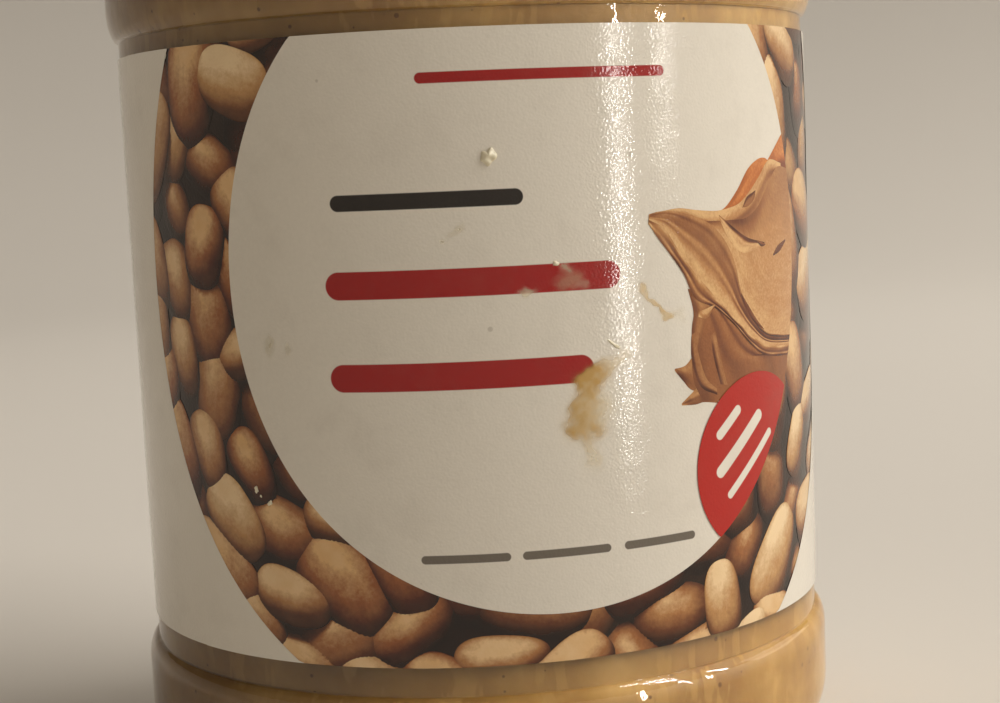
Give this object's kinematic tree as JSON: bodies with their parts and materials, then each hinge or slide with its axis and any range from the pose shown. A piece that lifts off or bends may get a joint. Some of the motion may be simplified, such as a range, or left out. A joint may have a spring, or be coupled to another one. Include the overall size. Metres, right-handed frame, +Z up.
{
  "type": "peanut butter jar",
  "caption": "Clear round jar with raised bands above and below its wrap-around label, a ribbed screw cap and a filling of smooth peanut butter.",
  "frame": {"origin": "centre of the foot ring, on the surface that the jar stands on", "axes": "+Z up along the jar's axis, the middle of the label's print facing -Y, the label's overlap at +Y"},
  "size_m": [0.076, 0.076, 0.114],
  "materials": {
    "clear_plastic": "clear, glossy",
    "nut_butter": "smooth paste behind the clear wall",
    "label_paper": "printed, glossy",
    "cap_plastic": "satin, ribbed"
  },
  "bodies": {
    "root": {"jar": "clear_plastic", "peanut_butter": "nut_butter", "label": "label_paper", "cap": "cap_plastic"}
  },
  "joints": []
}
